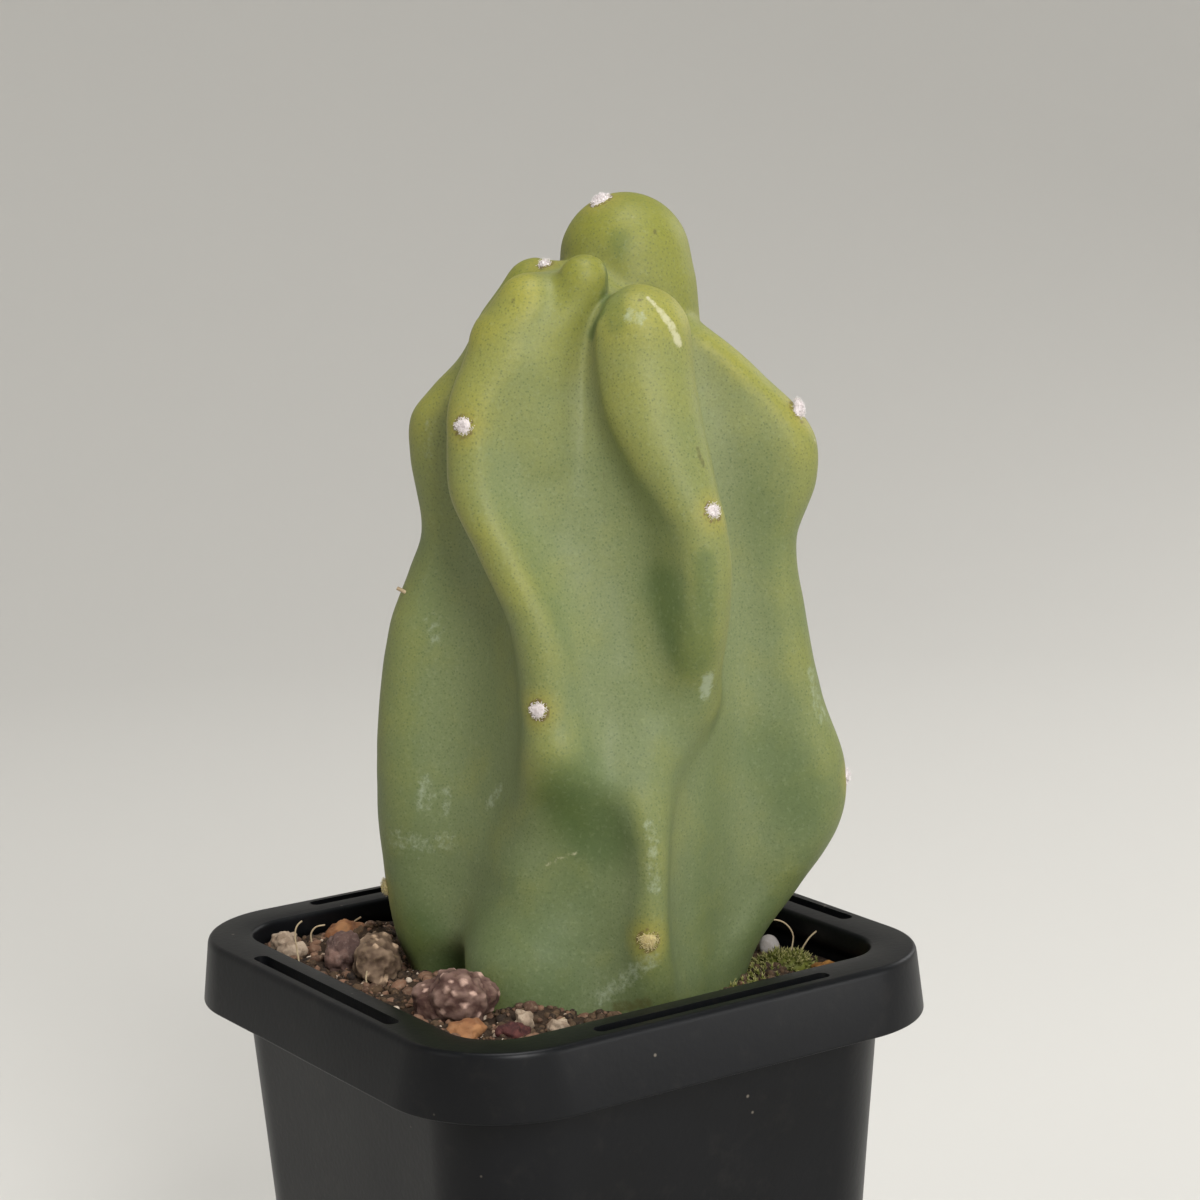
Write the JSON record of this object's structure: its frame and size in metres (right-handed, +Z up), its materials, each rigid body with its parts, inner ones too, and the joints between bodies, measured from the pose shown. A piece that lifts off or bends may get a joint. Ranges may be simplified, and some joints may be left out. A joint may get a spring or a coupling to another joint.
{
  "type": "potted senita cactus",
  "caption": "Stout green cactus stem with soft melted ribs and white felted areoles, standing in gritty soil in a square black nursery pot.",
  "frame": {"origin": "centre of the pot's underside, on the surface it stands on", "axes": "+Z up along the pot's axis; +X and +Y square to the pot's sides; the pictured front of the stem faces between -X and -Y"},
  "size_m": [0.0726, 0.0726, 0.1558],
  "materials": {
    "pot_plastic": "satin moulded black polypropylene",
    "soil_humus": "matt crumbly humus and grit",
    "stem_skin": "waxy satin skin, glaucous on the faces",
    "moss_green": "fine matt shoots",
    "pumice_pale": "matt porous",
    "gravel_ochre": "matt, slightly dusty",
    "conglomerate_brown": "matt with pale grains",
    "lava_red": "matt porous",
    "pebble_grey": "smooth, water-worn",
    "bark_orange": "rough, fibrous"
  },
  "bodies": {
    "root": {"pot": "pot_plastic", "soil": "soil_humus", "stem": "stem_skin", "moss_cushion": "moss_green", "pumice_corner_outer": "pumice_pale", "pumice_corner_inner": "pumice_pale", "gravel_orange_back": "gravel_ochre", "gravel_brown_tall": "gravel_ochre", "conglomerate_left": "conglomerate_brown", "conglomerate_front": "conglomerate_brown", "gravel_orange_front": "gravel_ochre", "lava_red_front": "lava_red", "pumice_front_spike": "pumice_pale", "pumice_front_yellow": "pumice_pale", "pebble_round": "pebble_grey", "bark_chunk": "bark_orange"}
  },
  "joints": []
}
